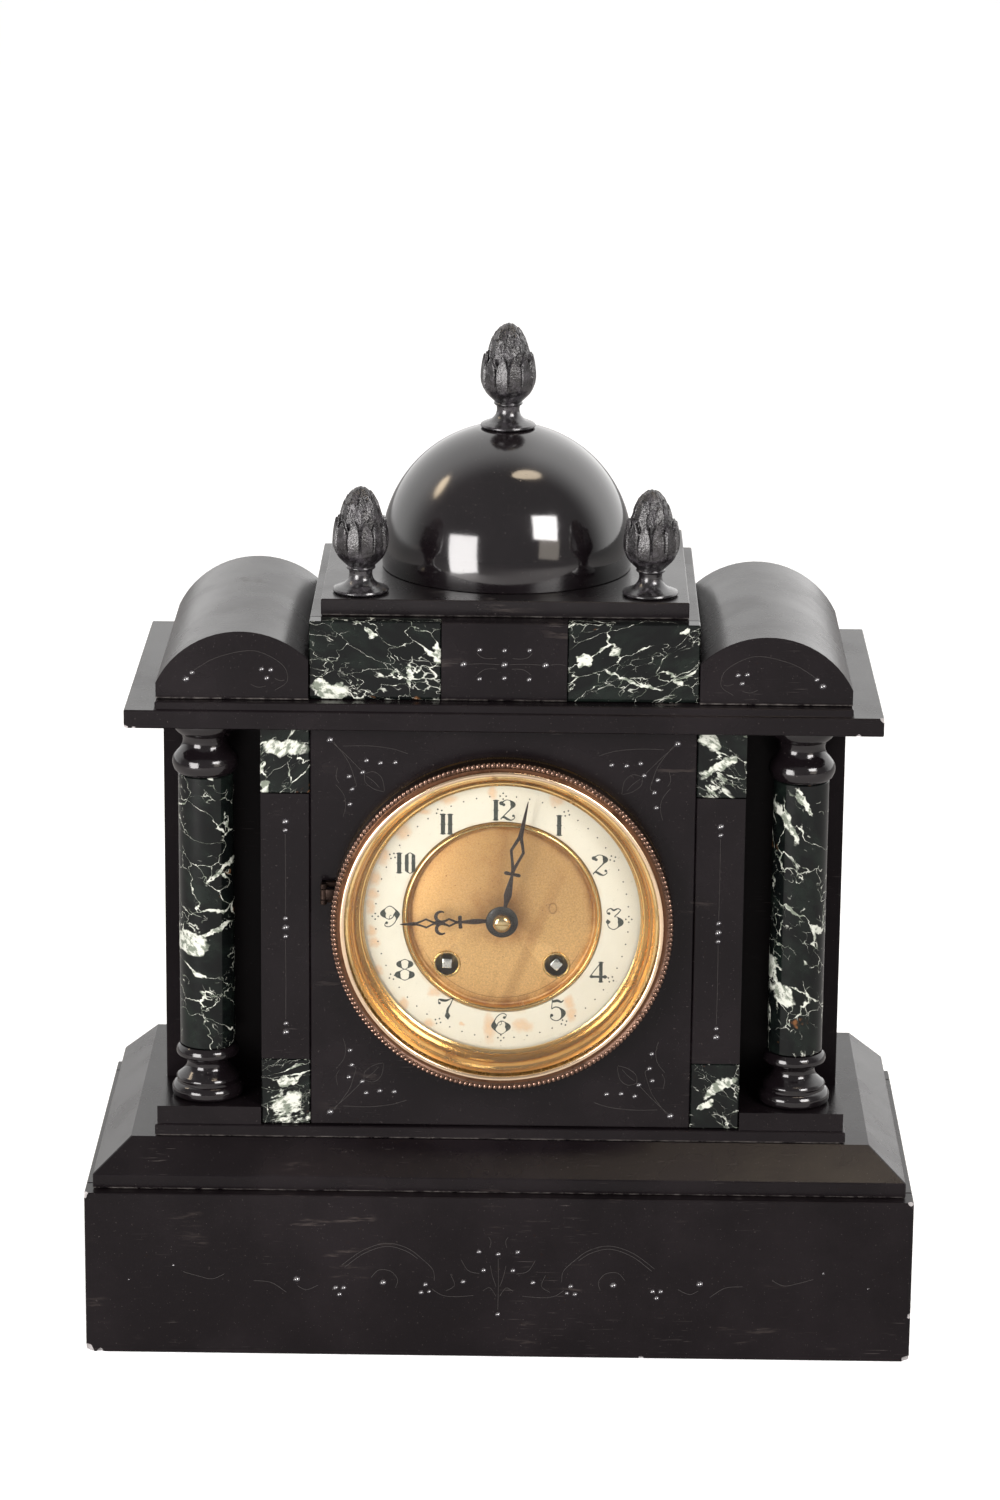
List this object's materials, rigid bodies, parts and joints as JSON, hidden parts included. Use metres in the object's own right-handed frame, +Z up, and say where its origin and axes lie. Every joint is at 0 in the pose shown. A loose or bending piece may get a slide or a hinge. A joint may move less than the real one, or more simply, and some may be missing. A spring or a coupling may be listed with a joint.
{
  "type": "mantel clock",
  "caption": "Black slate and green marble mantel clock with a dome, pine cone finials, columns and a round brass-framed dial.",
  "frame": {"origin": "middle of the plinth's outline, on the surface the clock stands on", "axes": "+X to the right as seen from the front, +Y towards the back, +Z up; the dial faces -Y"},
  "size_m": [0.35, 0.166, 0.428],
  "materials": {
    "slate": "polished black slate",
    "green_marble": "polished, dark green with white veins",
    "brass": "satin",
    "gilt": "matt gilding, aged",
    "bezel_bronze": "cast and lacquered, browned with age",
    "enamel": "glossy cream enamel",
    "blued_steel": "blackened",
    "steel": "polished",
    "glass": "clear, bevelled at its edge",
    "bell_metal": "bright, lightly tarnished"
  },
  "bodies": {
    "case": {"plinth_front": "slate", "plinth_side_left": "slate", "plinth_side_right": "slate", "plinth_back": "slate", "bevel_slab": "slate", "step_slab": "slate", "column_base_left": "slate", "column_shaft_left": "green_marble", "column_capital_left": "slate", "column_base_right": "slate", "column_shaft_right": "green_marble", "column_capital_right": "slate", "side_wall_left": "slate", "side_wall_right": "slate", "pilaster_left": "slate", "pilaster_right": "slate", "marble_low_left": "green_marble", "marble_low_right": "green_marble", "marble_high_left": "green_marble", "marble_high_right": "green_marble", "front_panel": "slate", "back_panel": "slate", "cornice": "slate", "arch_left": "slate", "arch_right": "slate", "attic_block": "slate", "frieze_marble_left": "green_marble", "frieze_marble_right": "green_marble", "top_slab": "slate", "dome": "slate", "dome_finial": "slate", "finial_left": "slate", "finial_right": "slate", "front_ring": "brass", "chapter_ring": "enamel", "dial_centre": "gilt", "front_plate": "brass", "back_plate": "brass", "strap_left": "brass", "strap_right": "brass", "rear_ring": "brass", "bell": "bell_metal"},
    "bezel": {"bezel": "bezel_bronze", "bezel_glass": "glass"},
    "rear_door": {"rear_door": "brass"},
    "minute_hand": {"cannon_pinion": "steel", "minute_hand": "blued_steel"},
    "minute_wheel": {"minute_wheel": "brass"},
    "hour_hand": {"hour_wheel": "brass", "hour_hand": "blued_steel"},
    "going_barrel": {"going_barrel": "brass"},
    "second_wheel": {"second_wheel": "brass"},
    "centre_arbor": {"centre_arbor": "brass"},
    "third_wheel": {"third_wheel": "brass"},
    "escape_wheel": {"escape_wheel": "brass"},
    "anchor": {"anchor": "steel"},
    "pendulum": {"pendulum": "brass"},
    "strike_barrel": {"strike_barrel": "brass"},
    "strike_pin_wheel": {"strike_pin_wheel": "brass"},
    "hammer": {"hammer": "steel"}
  },
  "joints": [
    {"name": "bezel_hinge", "type": "hinge", "parent": "case", "child": "bezel", "pos_m": [-0.0746, -0.0652, 0.18735], "axis": [0, 0, -1], "range_deg": [0, 105]},
    {"name": "rear_door_hinge", "type": "hinge", "parent": "case", "child": "rear_door", "pos_m": [-0.0682, 0.0795, 0.18735], "axis": [0, 0, 1], "range_deg": [0, 105]},
    {"name": "minute_hand_turn", "type": "hinge", "parent": "case", "child": "minute_hand", "pos_m": [0, -0.025, 0.18735], "axis": [0, 1, 0], "continuous": true},
    {"name": "minute_wheel_turn", "type": "hinge", "parent": "case", "child": "minute_wheel", "pos_m": [0, -0.025, 0.17615], "axis": [0, 1, 0], "continuous": true},
    {"name": "hour_hand_turn", "type": "hinge", "parent": "case", "child": "hour_hand", "pos_m": [0, -0.025, 0.18735], "axis": [0, 1, 0], "continuous": true},
    {"name": "third_wheel_turn", "type": "hinge", "parent": "case", "child": "third_wheel", "pos_m": [-0.0067, -0.025, 0.20378], "axis": [0, 1, 0], "continuous": true},
    {"name": "centre_arbor_turn", "type": "hinge", "parent": "case", "child": "centre_arbor", "pos_m": [0, -0.025, 0.18735], "axis": [0, 1, 0], "continuous": true},
    {"name": "second_wheel_turn", "type": "hinge", "parent": "case", "child": "second_wheel", "pos_m": [0.02, -0.025, 0.18662], "axis": [0, 1, 0], "continuous": true},
    {"name": "going_barrel_turn", "type": "hinge", "parent": "case", "child": "going_barrel", "pos_m": [0.0231, -0.025, 0.16585], "axis": [0, 1, 0], "continuous": true},
    {"name": "escape_wheel_turn", "type": "hinge", "parent": "case", "child": "escape_wheel", "pos_m": [0, -0.025, 0.21785], "axis": [0, 1, 0], "continuous": true},
    {"name": "strike_barrel_turn", "type": "hinge", "parent": "case", "child": "strike_barrel", "pos_m": [-0.0231, -0.025, 0.16585], "axis": [0, 1, 0], "continuous": true},
    {"name": "strike_pin_wheel_turn", "type": "hinge", "parent": "case", "child": "strike_pin_wheel", "pos_m": [-0.02, -0.025, 0.18662], "axis": [0, 1, 0], "continuous": true},
    {"name": "pendulum_swing", "type": "hinge", "parent": "case", "child": "pendulum", "pos_m": [0, 0.012, 0.23085], "axis": [0, 1, 0], "range_deg": [-3.5, 3.5]},
    {"name": "anchor_swing", "type": "hinge", "parent": "case", "child": "anchor", "pos_m": [0, -0.025, 0.23085], "axis": [0, 1, 0], "range_deg": [-3.5, 3.5]},
    {"name": "hammer_swing", "type": "hinge", "parent": "case", "child": "hammer", "pos_m": [-0.038, 0, 0.20335], "axis": [0, 1, 0], "range_deg": [0, 18], "stiffness_Nm_per_rad": 0.002, "springref_deg": -6.88}
  ],
  "couplings": [
    {"joint": "minute_wheel_turn", "follows": "minute_hand_turn", "ratio": -0.33333},
    {"joint": "hour_hand_turn", "follows": "minute_hand_turn", "ratio": 0.083333},
    {"joint": "centre_arbor_turn", "follows": "third_wheel_turn", "ratio": -0.083333},
    {"joint": "second_wheel_turn", "follows": "third_wheel_turn", "ratio": 0.014706},
    {"joint": "going_barrel_turn", "follows": "third_wheel_turn", "ratio": -0.002451},
    {"joint": "escape_wheel_turn", "follows": "third_wheel_turn", "ratio": -12.667},
    {"joint": "strike_pin_wheel_turn", "follows": "strike_barrel_turn", "ratio": -6},
    {"joint": "anchor_swing", "follows": "pendulum_swing", "ratio": 1}
  ]
}
